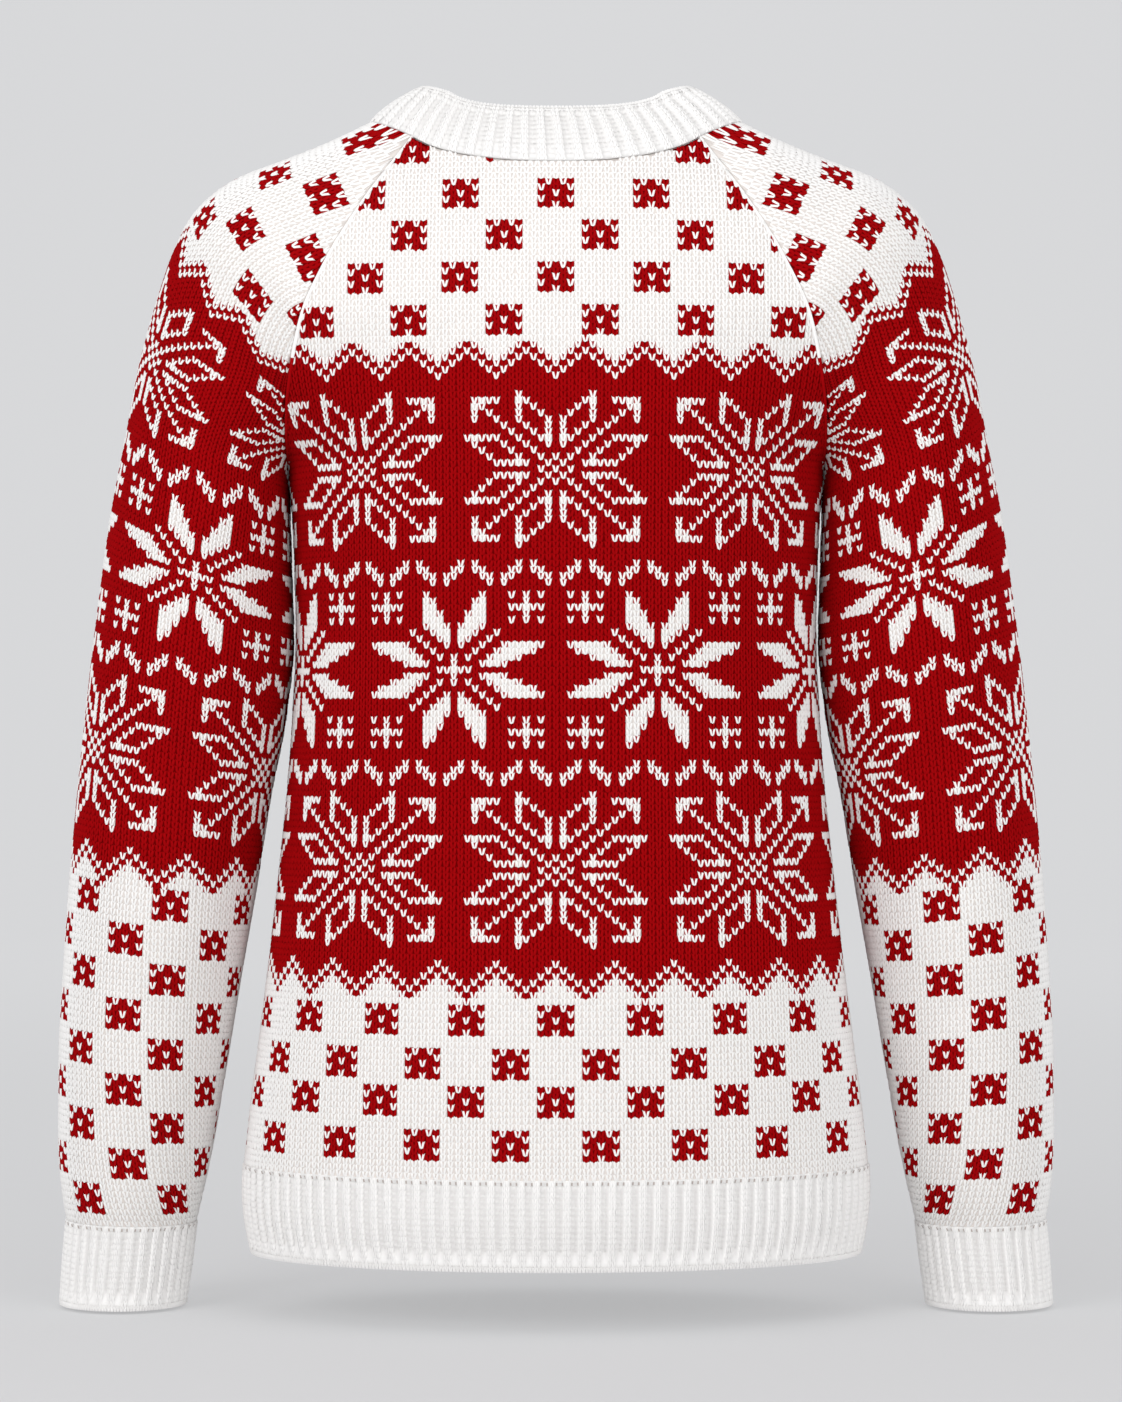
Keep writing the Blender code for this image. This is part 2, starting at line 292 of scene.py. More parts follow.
# Each runs from one point to another. Wide is how far its sides reach, and deep is how far it sinks, or how far
# it stands where that is less than nothing. The same ones, mirrored, are on the wearer's right.
CREASES = {
    "from": (
        (150, 70, -178), (149, 84, -196), (146, 92, -238), (158, 44, -196), (163, 52, -236), (232, 58, -330),
        (240, 52, -396), (196, 54, -352), (150, -72, -180), (148, -92, -200), (146, -96, -246),
        (160, -50, -200), (166, -58, -244), (238, -64, -336), (246, -62, -402), (168, 20, -520),
        (120, 92, -470), (60, 104, -300), (118, -96, -482), (52, -110, -320), (236, 40, -470),
        (238, -58, -480), (120, 84, -92), (124, -90, -104),
    ),
    "to": (
        (122, 98, -150), (112, 100, -214), (108, 100, -276), (196, 66, -160), (204, 66, -222), (186, 56, -356),
        (200, 48, -424), (172, 40, -392), (120, -104, -152), (108, -106, -220), (104, -104, -290),
        (198, -66, -166), (208, -68, -232), (190, -62, -366), (204, -62, -434), (166, 40, -440),
        (88, 100, -420), (92, 100, -352), (84, -104, -430), (86, -108, -372), (204, 44, -486),
        (204, -62, -498), (150, 76, -136), (152, -80, -140),
    ),
    "wide": (
        11, 10, 12, 11, 13, 14, 13, 11, 11, 10, 13, 12, 13, 14, 13, 14, 18, 22, 18, 22, 12, 12, 9, 9,
    ),
    "deep": (
        1.5, 1.1, 1.0, 1.7, 1.2, 1.5, 1.2, -1.0, 1.6, 1.2, 1.1, 1.7, 1.2, 1.5, 1.3, 1.2, 0.9, 0.8, 1.0, 0.8,
        0.9, 0.9, 0.8, 0.8,
    ),
}


def creased(points, outward):
    """Points of a face sunk into the creases that pass under them."""
    flat = points.reshape(-1, 3)
    sunk = np.zeros(len(flat))
    for start, end, wide, deep in zip(*(CREASES[name] for name in ("from", "to", "wide", "deep"))):
        for hand in (1, -1):
            a = np.array(start, float) * (hand, 1, 1)
            run = np.array(end, float) * (hand, 1, 1) - a
            share = np.clip((flat - a) @ run / (run @ run), 0, 1)
            away = np.linalg.norm(flat - a - share[:, None] * run, axis=1)
            along = CREASE_ENDS + (1 - CREASE_ENDS) * np.sin(math.pi * share)
            sunk += deep * np.exp(-((away / wide) ** 2)) * along
    return points - outward * sunk.reshape(points.shape[:-1])[..., None]


# --- A knitted face ---


def between(grid, row, column):
    """Values of a grid between its rows and columns."""
    i = np.clip(row.astype(int), 0, grid.shape[0] - 2)
    j = np.clip(column.astype(int), 0, grid.shape[1] - 2)
    p = np.clip(row - i, 0, 1)[..., None]
    q = np.clip(column - j, 0, 1)[..., None]
    low = grid[i, j] * (1 - q) + grid[i, j + 1] * q
    high = grid[i + 1, j] * (1 - q) + grid[i + 1, j + 1] * q
    return low * (1 - p) + high * p


def outward_of(grid):
    """Unit normals of a grid of points, pointing away from its middle."""
    normals = np.cross(np.gradient(grid, axis=1), np.gradient(grid, axis=0))
    normals /= np.maximum(np.linalg.norm(normals, axis=2, keepdims=True), 1e-9)
    middle = grid.reshape(-1, 3).mean(axis=0)
    turned = float(np.sum(normals * (grid - middle))) < 0
    return (-normals if turned else normals), turned


class Knitting:
    """A face that rows run across, from a seam to a seam, measured in millimetres from its middle wale."""

    def __init__(self, points, middle=0.5, creases=True, relief=None):
        run = lengths(points)
        fractions = np.linspace(0, 1, FORM_STEPS + 1)
        self.grid = np.empty((len(points), FORM_STEPS + 1, 3))
        for r in range(len(points)):
            for axis in range(3):
                self.grid[r, :, axis] = np.interp(fractions * run[r, -1], run[r], points[r, :, axis])
        at_middle = run[:, int(round(middle * (points.shape[1] - 1)))]
        self.low = -at_middle
        self.high = run[:, -1] - at_middle
        self.outward, self.turned = outward_of(self.grid)
        if creases:
            self.grid = creased(self.grid, self.outward)
            self.outward, self.turned = outward_of(self.grid)
        self.relief = relief
        self.top = None

    def edges(self, row):
        at = np.arange(len(self.low))
        return np.interp(row, at, self.low), np.interp(row, at, self.high)

    def place(self, along, row, high):
        """Points at lengths along rows, a height above the face. A cut edge, if any, holds rows back."""
        low, top = self.edges(row)
        column = np.clip((along - low) / np.maximum(top - low, 1e-6), 0, 1) * FORM_STEPS
        face = between(self.grid, row, column)
        if self.top is not None:
            row = np.minimum(row, self.top(face))
            face = between(self.grid, row, column)
        if self.relief is not None:
            high = high + self.relief(column / FORM_STEPS, row)
        return face + between(self.outward, row, column) * high[..., None]


def leaves(knit, left, right, row, shape, mirrored, rng, loose=LEG_LOOSE):
    """One leaf for each cell of the knitting: points and faces. Left and right give a cell's sides at a row."""
    sign = -1.0 if mirrored else 1.0
    count = len(row)
    sway = rng.normal(0, loose, (2, count))
    lift = rng.normal(0, LEG_LIFT, count)
    points = np.empty((count, len(shape["across"]), 3))
    for n, (across, along, high) in enumerate(zip(shape["across"], shape["along"], shape["high"])):
        at = row + along + sway[0]
        low = left(at)
        wide = right(at) - low
        points[:, n] = knit.place(low + (0.5 + sign * across + LOOSE_ACROSS * sway[1]) * wide, at, high + lift)
    faces = np.array(LEG_FACES)
    if mirrored != knit.turned:
        faces = faces[:, ::-1]
    faces = (np.arange(count) * len(shape["across"]))[:, None, None] + faces
    return points.reshape(-1, 3), faces.reshape(-1, 3)


def patches(knit, left, right, row):
    """The yarn seen through each stitch: points and faces."""
    points = np.empty((len(row), 4, 3))
    for n, (share, up) in enumerate(((0, 0), (1, 0), (1, 1), (0, 1))):
        low = left(row + up)
        wide = right(row + up) - low
        points[:, n] = knit.place(low + share * wide, row + up, np.full(len(row), -PATCH_SUNK))
    faces = np.array(((0, 1, 2), (0, 2, 3)))
    if knit.turned:
        faces = faces[:, ::-1]
    faces = (np.arange(len(row)) * 4)[:, None, None] + faces
    return points.reshape(-1, 3), faces.reshape(-1, 3)


def joined(parts):
    """Several sets of points and faces as one."""
    points, faces, start = [], [], 0
    for p, f in parts:
        points.append(p)
        faces.append(f + start)
        start += len(p)
    return np.concatenate(points), np.concatenate(faces)


# --- The charts ---

STAR_REACH = 12          # stitches from a star's middle to its edge
STAR_EVERY = 28          # wales from one star to the next
WAVE_WIDE = 8            # wales of a little wave, and of a tooth of the zigzag

# Rows from the foot of the design, and the wale that its middle lies on.
BODY_LAYOUT = {"first": 0, "middle": 0}
SLEEVE_LAYOUT = {"first": 26, "middle": 9}
FIELD_ROWS = (34, 128)   # the zigzags that bound the red
OPEN_STAR_ROWS = (49, 113)
FULL_STAR_ROW = 81
WAVE_ROWS = (63, 95)

# Bands of checks, by the piece's own rows: the first row of each, the wales from check to check, how far they
# lie to one side, and whether the lowest band is the one that is half a repeat along.
CHECKS = {
    "body_low": ((3, 10, 16, 23), 12, 0, True),
    "body_high": ((135, 142, 149, 156, 164), 13, 0, True),
    "sleeve_low": (tuple(range(2, 56, 6)), 13, 3, False),
    "sleeve_high": ((161, 167, 174, 180, 187), 14, 0, True),
}
SLEEVE_CHECKS_TO = 29    # the row of the design where the sleeve's low checks end


def eightfold(stitches):
    """A chart from one eighth of a star, as a square of true and false."""
    chart = np.zeros((2 * STAR_REACH + 1,) * 2, bool)
    for across, up in stitches:
        for a, b in ((across, up), (up, across)):
            for x in (a, -a):
                for y in (b, -b):
                    chart[y + STAR_REACH, x + STAR_REACH] = True
    return chart


def open_star():
    """A star of eight outlined petals, with a long-barbed arrow on each diagonal."""
    found = [(0, 0), (0, 2)]
    found += [(k, k) for k in range(1, 11)]
    found += [(barb, 11) for barb in range(8, 12)]
    for column in range(1, 6):
        low, high = column + 3, column + 7
        found += [(column, row) for row in range(low, high + 1) if column in (1, 5) or row in (low, high)]
    return eightfold(found)


def full_star():
    """A star of eight solid petals that widen outward, with a small snowflake on each diagonal."""
    found = [(0, 0), (0, 1), (0, 2)]
    found += [(k, k) for k in range(2, 7)]
    for column in range(1, 5):
        found += [(column, row) for row in range(column + 3, min(12, 2 * column + 5) + 1)]
    found += [(10, 10), (9, 10), (8, 10), (10, 11), (10, 12)]
    found += [(8, 8), (12, 12), (8, 12)]
    return eightfold(found)


def star_band(chart, wale, row, middle, shift):
    """White stitches of a band of stars."""
    spread = (wale + shift + STAR_EVERY // 2) % STAR_EVERY - STAR_EVERY // 2
    near = (np.abs(spread) <= STAR_REACH) & (np.abs(row - middle) <= STAR_REACH)
    x = np.clip(spread, -STAR_REACH, STAR_REACH) + STAR_REACH
    y = np.clip(row - middle, -STAR_REACH, STAR_REACH) + STAR_REACH
    return near & chart[y, x]


def teeth(wale):
    """How many wales it is to the nearest point of a zigzag."""
    return np.abs((wale + WAVE_WIDE // 2) % WAVE_WIDE - WAVE_WIDE // 2)


def waves(wale, row, first):
    """White stitches of a band of little waves, four rows high."""
    out = teeth(wale)
    up = row - first
    return (out % (WAVE_WIDE // 2) > 0) & ((up == out - 1) | (up == out))


def check_chart(wale, up):
    """Red stitches of a check, five wales by five rows, from its bottom row."""
    out = np.abs(wale)
    notched = (up == 0) & (out == 0)
    side = ((up == 1) | (up == 3)) & (out == 2)
    eye = (up == 2) & (out == 0)
    crown = (up == 4) & (out == 1)
    return (out <= 2) & (up >= 0) & (up <= 4) & ~(notched | side | eye | crown)


def checks(wale, row, bands):
    """Red stitches of bands of checks, each band half a repeat along from the one below."""
    firsts, repeat, aside, offset_first = CHECKS[bands]
    found = np.zeros(np.broadcast(wale, row).shape, bool)
    for band, first in enumerate(firsts):
        shift = repeat // 2 if (band + offset_first) % 2 == 1 else 0
        spread = (wale + aside + shift + repeat // 2) % repeat - repeat // 2
        found |= check_chart(spread, row - first)
    return found


def colourwork(wale, row, sleeve=False):
    """True where the stitch at a wale, counted from the middle one, and a row is red."""
    layout = SLEEVE_LAYOUT if sleeve else BODY_LAYOUT
    up = row - layout["first"]
    aside = wale - layout["middle"]
    lower = FIELD_ROWS[0] - teeth(aside)
    upper = FIELD_ROWS[1] + teeth(aside)
    field = (up > lower) & (up < upper) | (up == lower - 1) | (up == upper + 1)
    white = star_band(full_star(), aside, up, FULL_STAR_ROW, STAR_EVERY // 2)
    for middle in OPEN_STAR_ROWS:
        white |= star_band(open_star(), aside, up, middle, 0)
    for first in WAVE_ROWS:
        white |= waves(aside, up, first)
    if sleeve:
        red = checks(wale, row, "sleeve_low") & (up < SLEEVE_CHECKS_TO)
        red |= checks(wale, row, "sleeve_high")
    else:
        red = checks(wale, row, "body_low") | checks(wale, row, "body_high")
    return field & ~white | red


# --- Wool ---


def shader(material):
    """The material's Principled BSDF."""
    return material.node_tree.nodes["Principled BSDF"]


def fibre_group():
    """Uneven dye and stray fibres, shared by every wool."""
    name = "wool_fibre"
    if name in bpy.data.node_groups:
        return bpy.data.node_groups[name]
    tree = bpy.data.node_groups.new(name, "ShaderNodeTree")
    sockets = (
        ("Colour", "INPUT", "Color"), ("Deep Colour", "INPUT", "Color"), ("Unevenness", "INPUT", "Float"),
        ("Colour", "OUTPUT", "Color"), ("Fibre Height", "OUTPUT", "Float"), ("Roughness", "OUTPUT", "Float"),
    )
    for label, way, kind in sockets:
        tree.interface.new_socket(label, in_out=way, socket_type="NodeSocket" + kind)
    nodes = tree.nodes
    links = tree.links
    given = nodes.new("NodeGroupInput")
    out = nodes.new("NodeGroupOutput")
    place = nodes.new("ShaderNodeTexCoord")
    dye = nodes.new("ShaderNodeTexNoise")
    dye.inputs["Scale"].default_value = 260.0
    dye.inputs["Detail"].default_value = 3.0
    fibre = nodes.new("ShaderNodeTexNoise")
    fibre.inputs["Scale"].default_value = 1900.0
    fibre.inputs["Detail"].default_value = 2.0
    share = nodes.new("ShaderNodeMath")
    share.operation = "MULTIPLY"
    mix = nodes.new("ShaderNodeMix")
    mix.data_type = "RGBA"
    rough = nodes.new("ShaderNodeMapRange")
    rough.inputs["To Min"].default_value = 0.82
    rough.inputs["To Max"].default_value = 0.98
    joins = (
        (place.outputs["Object"], dye.inputs["Vector"]),
        (place.outputs["Object"], fibre.inputs["Vector"]),
        (dye.outputs["Fac"], share.inputs[0]),
        (given.outputs["Unevenness"], share.inputs[1]),
        (share.outputs[0], mix.inputs["Factor"]),
        (given.outputs["Colour"], mix.inputs[6]),
        (given.outputs["Deep Colour"], mix.inputs[7]),
        (mix.outputs[2], out.inputs["Colour"]),
        (fibre.outputs["Fac"], out.inputs["Fibre Height"]),
        (fibre.outputs["Fac"], rough.inputs["Value"]),
        (rough.outputs["Result"], out.inputs["Roughness"]),
    )
    for start, end in joins:
        links.new(start, end)
    return tree


def wool(name, colour, deep, uneven=0.35, sheen=0.0, shine=0.12, fuzz=0.25):
    """A woollen yarn, dyed a little unevenly, with a soft halo of fibres."""
    if name in bpy.data.materials:
        return bpy.data.materials[name]
    made = bpy.data.materials.new(name)
    made.use_nodes = True
    tree = made.node_tree
    face = shader(made)
    fibre = tree.nodes.new("ShaderNodeGroup")
    fibre.node_tree = fibre_group()
    fibre.inputs["Colour"].default_value = (*colour, 1.0)
    fibre.inputs["Deep Colour"].default_value = (*deep, 1.0)
    fibre.inputs["Unevenness"].default_value = uneven
    bump = tree.nodes.new("ShaderNodeBump")
    bump.inputs["Strength"].default_value = fuzz
    bump.inputs["Distance"].default_value = 0.0003
    tree.links.new(fibre.outputs["Colour"], face.inputs["Base Color"])
    tree.links.new(fibre.outputs["Roughness"], face.inputs["Roughness"])
    tree.links.new(fibre.outputs["Fibre Height"], bump.inputs["Height"])
    tree.links.new(bump.outputs["Normal"], face.inputs["Normal"])
    face.inputs["Specular IOR Level"].default_value = shine
    face.inputs["Sheen Weight"].default_value = sheen
    face.inputs["Sheen Roughness"].default_value = 0.5
    face.inputs["Sheen Tint"].default_value = (*colour, 1.0)
    return made


# Places in the list of wools that a knitted face is made of. The two hollow ones are painted shade: darker
# copies of the white and the red for the cloth seen between stitches.
WHITE, RED, WHITE_HOLLOW_SHADE, RED_HOLLOW_SHADE = range(4)


def wools():
    """White and red yarn, then painted shade: darker copies of both for the cloth behind the stitches, a darker
    white for a rib's furrows, and a dark patch for the small holes above a rib.
    """
    yarn = bpy.context.scene.pullover_yarn
    white = tuple(yarn.white)
    red = tuple(yarn.red)
    dim = yarn.hollow
    return (
        wool("white_wool", white, tuple(0.90 * c for c in white), sheen=0.12),
        wool("red_wool", red, tuple(0.5 * c for c in red), shine=0.03),
        wool("white_wool_hollow_shade", (dim * white[0], 0.93 * dim * white[1], 0.89 * dim * white[2]),
             tuple(0.85 * dim * c for c in white)),
        wool("red_wool_hollow_shade", tuple(0.38 * c for c in red), tuple(0.26 * c for c in red), shine=0.0),
        # Painted shade: the white darkened for a rib's furrows, its purl stitches and cloth, and the inner face
        # of the cloth behind the stitches.
        wool("white_wool_furrow_shade", tuple(yarn.furrow * c for c in white),
             tuple(0.95 * yarn.furrow * c for c in white)),
        # Painted shade: the dark patch that stands for a small hole above a rib.
        wool("eyelet_painted_shade", tuple(yarn.eyelet), tuple(yarn.eyelet)),
    )


# --- Making pieces ---


def mesh_piece(name, points, faces, materials, slots=None):
    """An object from points in millimetres and faces that all have the same number of corners."""
    corners = faces.shape[1]
    mesh = bpy.data.meshes.new(name)
    mesh.vertices.add(len(points))
    mesh.vertices.foreach_set("co", (points * MM).astype(np.float32).ravel())
    mesh.loops.add(faces.size)
    mesh.loops.foreach_set("vertex_index", faces.astype(np.int32).ravel())
    mesh.polygons.add(len(faces))
    mesh.polygons.foreach_set("loop_start", np.arange(0, faces.size, corners, dtype=np.int32))
    for material in materials:
        mesh.materials.append(material)
    if slots is not None:
        mesh.polygons.foreach_set("material_index", slots.astype(np.int32))
    mesh.update(calc_edges=True)
    mesh.validate()
    mesh.shade_smooth()
    piece = bpy.data.objects.new(name, mesh)
    bpy.context.scene.collection.objects.link(piece)
    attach(piece, "root")
    return piece


def grid_faces(rows, columns, closed=False, turned=False):
    """Faces of a grid of points laid row after row."""
    r, c = np.meshgrid(np.arange(rows - 1), np.arange(columns if closed else columns - 1), indexing="ij")
    d = (c + 1) % columns
    low = r * columns
    high = (r + 1) * columns
    faces = np.stack((low + c, low + d, high + d, high + c), axis=-1).reshape(-1, 4)
    return faces[:, ::-1] if turned else faces


def backing(name, knit, rows, across, sleeve):
    """The cloth behind the stitches, in painted shade: darker copies of the colour of the yarn before it, and
    plain white inside in the rib furrows' darker white.

    Rows are a grid of row numbers, and across the share of each row's width that its points lie at.
    """
    low, high = knit.edges(rows)
    along = low + (high - low) * across
    points = knit.place(along, rows, np.full(along.shape, -CLOTH_SUNK))
    faces = grid_faces(rows.shape[0], rows.shape[1], turned=knit.turned)
    row_at = (rows[:-1, :-1] + rows[1:, 1:]) / 2
    along_at = (along[:-1, :-1] + along[1:, 1:]) / 2
    wale = np.round(along_at / knit.wale(row_at)).astype(int)
    near = [colourwork(wale + a, row_at.astype(int) + b, sleeve) for a in (-1, 0, 1) for b in (-1, 0, 1)]
    red = np.sum(near, axis=0) > 3
    # Painted shade: the darker hollow copies of white and red, and the furrows' darker white on the inner face.
    materials = wools()[2:5]
    piece = mesh_piece(name, points.reshape(-1, 3), faces, materials, red.ravel())
    thick = piece.modifiers.new("wall", "SOLIDIFY")
    thick.thickness = CLOTH_WALL * MM
    thick.offset = -1.0
    thick.material_offset = len(materials) - 1
    return piece


def seam_cord(side, hand):
    """The turned-in edge along a raglan seam: points, faces, and which faces are red."""
    run = seam_line(side)[::2] * (hand, 1, 1)
    along = np.gradient(run, axis=0)
    along /= np.linalg.norm(along, axis=1, keepdims=True)
    out = run - np.array((run[:, 0].mean() * CORD_FACES_FROM["share"], 0, CORD_FACES_FROM["z"]))
    out -= np.sum(out * along, axis=1, keepdims=True) * along
    out /= np.linalg.norm(out, axis=1, keepdims=True)
    over = np.cross(along, out)
    turn = np.linspace(0, 2 * math.pi, CORD_SIDES, endpoint=False)[None, :, None]
    ring = run[:, None] - CORD_SUNK * out[:, None]
    ring = ring + CORD_WIDE * (np.cos(turn) * out[:, None] + np.sin(turn) * over[:, None])
    quads = grid_faces(len(run), CORD_SIDES, closed=True)
    faces = np.concatenate((quads[:, [0, 1, 2]], quads[:, [0, 2, 3]]))
    red = np.tile(np.repeat((run[:-1, 2] - HEM_TOP) / BODY_ROW < CORD_RED_TO, CORD_SIDES), 2)
    return ring.reshape(-1, 3), faces, red


def stitches(name, knit, wales, last_row, sleeve, seed, cords=()):
    """Every stitch of a piece, white or red by the chart, and how many there are."""
    rng = np.random.default_rng(seed)
    wale, row = (g.ravel() for g in np.meshgrid(np.arange(-wales, wales + 1), np.arange(last_row)))

    def sides(wale):
        """Two functions that give, at rows, where wales begin and where they end."""
        def side(shift):
            def at(rows):
                low, high = knit.edges(rows)
                return np.clip((wale + shift) * knit.wale(rows), low + SEAM_LEFT, high - SEAM_LEFT)
            return at
        return side(-0.5), side(0.5)

    left, right = sides(wale)
    begins, ends = left(row + 0.5), right(row + 0.5)
    keep = ends - begins > STITCH_NARROW * knit.wale(row + 0.5)
    if knit.top is not None:
        cut = knit.top
        knit.top = None
        uncut = knit.place((begins + ends) / 2, row + 0.5, np.zeros(len(row)))
        knit.top = cut
        keep &= row + STITCH_SHORT < cut(uncut)
    wale, row = wale[keep], row[keep].astype(float)
    red = colourwork(wale, row.astype(int), sleeve)
    beside = ((-1, 0), (1, 0), (0, -1), (0, 1))
    near = [colourwork(wale + a, row.astype(int) + b, sleeve) for a, b in beside]
    behind = red | (np.sum(near, axis=0) > 1)
    parts = [patches(knit, *sides(wale), row)]
    # Painted shade: behind red stitches, and behind white ones among white, the cloth takes the darker hollow
    # copies; behind white ones among red it is plain red.
    slots = list(np.repeat(np.where(red, RED_HOLLOW_SHADE, np.where(behind, RED, WHITE_HOLLOW_SHADE)), 2))
    for slot, shape in ((WHITE, LEG), (RED, GROUND_LEG)):
        worked = red == slot
        left, right = sides(wale[worked])
        for mirrored in (False, True):
            parts.append(leaves(knit, left, right, row[worked], shape, mirrored, rng))
        slots += [slot] * (2 * int(worked.sum()) * len(LEG_FACES))
    for points, faces, is_red in cords:
        parts.append((points, faces))
        slots += list(is_red.astype(int))
    points, faces = joined(parts)
    return mesh_piece(name, points, faces, wools()[:4], np.array(slots)), len(row)


# --- Body ---


def body_knitting(side):
    """The panel's face, row by row from the hem rib up, cut along the neck."""
    corner = seam_line(side)[-1, 2]
    rows = int(math.ceil((corner - HEM_TOP) / BODY_ROW)) + 1
    z = HEM_TOP + BODY_ROW * np.arange(rows + 1)
    u = np.linspace(-1, 1, 2 * FORM_STEPS + 1)
    knit = Knitting(body_points(side, u[None, :], z[:, None]))
    underarm = (UNDERARM - HEM_TOP) / BODY_ROW
    at = np.arange(rows + 1)
    wide = np.interp(np.minimum(at, underarm), at, knit.high - knit.low)
    pitch = BODY_WALE * (wide / wide.min()) ** BODY_EASE
    knit.wale = lambda row: np.interp(row, at, pitch)
    neck = body_points(side, u, neck_edge(side, u))
    cut = neck[:, 2] - SEAM_LEFT

    def top(points):
        return (np.interp(points[..., 0], neck[:, 0], cut) - HEM_TOP) / BODY_ROW

    knit.top = top
    knit.underarm = underarm
    knit.neck_rows = (neck_edge(side, np.array(1.0)) - HEM_TOP) / BODY_ROW
    return knit


def body_panel(side, seed):
    """A panel: its cloth, its stitches and the turned-in edges at its raglan seams."""
    knit = body_knitting(side)
    across = np.linspace(0, 1, BODY_MESH["across"])
    below = np.linspace(0, knit.underarm, BODY_MESH["below"])
    shares = np.linspace(0, 1, BODY_MESH["above"])[1:]
    u = 2 * across - 1
    edge_rows = (neck_edge(side, u) - HEM_TOP) / BODY_ROW
    rows = [np.full(across.shape, r) for r in below]
    rows += [knit.underarm + share * (edge_rows - knit.underarm) for share in shares]
    cloth = backing(side + "_cloth", knit, np.array(rows), across[None, :], sleeve=False)
    cords = [seam_cord(side, hand) for hand in (1, -1)]
    last_row = int(knit.neck_rows) + 1
    knitted, count = stitches(side + "_stitches", knit, BODY_WALES, last_row, False, seed, cords)
    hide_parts("body_" + side)
    wale = float(np.mean(knit.wale(np.arange(0.0, knit.underarm))))


# --- Sleeves ---


def sleeve_knitting(hand):
    """A sleeve's face, row by row from the cuff over the shoulder to the neck."""
    fine = np.linspace(CUFF_STATION, 0, CROWN_STEPS + 1)
    crown = sleeve_points(fine, 0.0)
    run = lengths(crown[None])[0]
    v = np.linspace(-1, 1, 2 * FORM_STEPS + 1)[None, :]
    row = np.arange(SLEEVE_ROWS + 1.0)[:, None]
    dip = SLEEVE_DIP * smooth(DIP["row"], DIP["share"], row) * (1 - np.exp(-DIP_SHARP * v * v))
    stations = np.interp((row - dip) * run[-1] / SLEEVE_ROWS, run, fine)
    points = sleeve_points(stations, v) * np.array((hand, 1, 1))
    knit = Knitting(points)
    knit.wale = lambda row: np.interp(row, SLEEVE_WALES["row"], SLEEVE_WALES["wide"])
    knit.row = run[-1] / SLEEVE_ROWS
    return knit


def sleeve_piece(name, hand, seed):
    """A sleeve: its cloth and its stitches."""
    knit = sleeve_knitting(hand)
    across = np.linspace(0, 1, SLEEVE_MESH["across"])
    rows = np.repeat(np.linspace(0, SLEEVE_ROWS, SLEEVE_MESH["along"])[:, None], len(across), axis=1)
    cloth = backing(name + "_cloth", knit, rows, across[None, :], sleeve=True)
    knitted, count = stitches(name + "_stitches", knit, SLEEVE_SIDE_WALES, SLEEVE_ROWS, True, seed)
    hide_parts(name)


# --- Ribs ---

RIB_STAND = 0.8          # how far a rib's two knit wales stand above the form
RIB_SINK = 1.7           # how far the two purl wales lie below it
RIB_KNIT = 0.54          # share of a rib that the knit wales take
RIB_STEEP = 1.9          # how steep the sides of a ridge are
RIB_FADE = 1.2           # rows over which a furrow rises to its ends
RIB_COLUMNS = 8          # of the cloth in a rib
RIB_SKIN = 0.35          # how far the outer cloth lies below the stitches
RIB_OUTER = 10           # rows of points of the outer cloth
RIB_INNER = 6
EYELET_WIDE = 0.1        # in ribs
EYELETS_AT = (RIB_KNIT - 0.02, RIB_KNIT + 0.36)


def rib_relief(ribs, rows, bare_low, bare_high):
    """Height of the rib's relief at a share of the way round and a row. Its ends are as high as ridges."""
    def high(share, row):
        phase = (share * ribs) % 1.0
        swing = np.cos(2 * math.pi * (phase - RIB_KNIT / 2))
        ridge = np.clip(0.5 + RIB_STEEP * swing, 0, 1)
        fade = np.clip((row - bare_low) / RIB_FADE, 0, 1)
        fade = fade * np.clip((rows - bare_high - row) / RIB_FADE, 0, 1)
        sunk = (1 - ridge) * (RIB_STAND + RIB_SINK)
        return RIB_STAND - sunk * fade
    return high


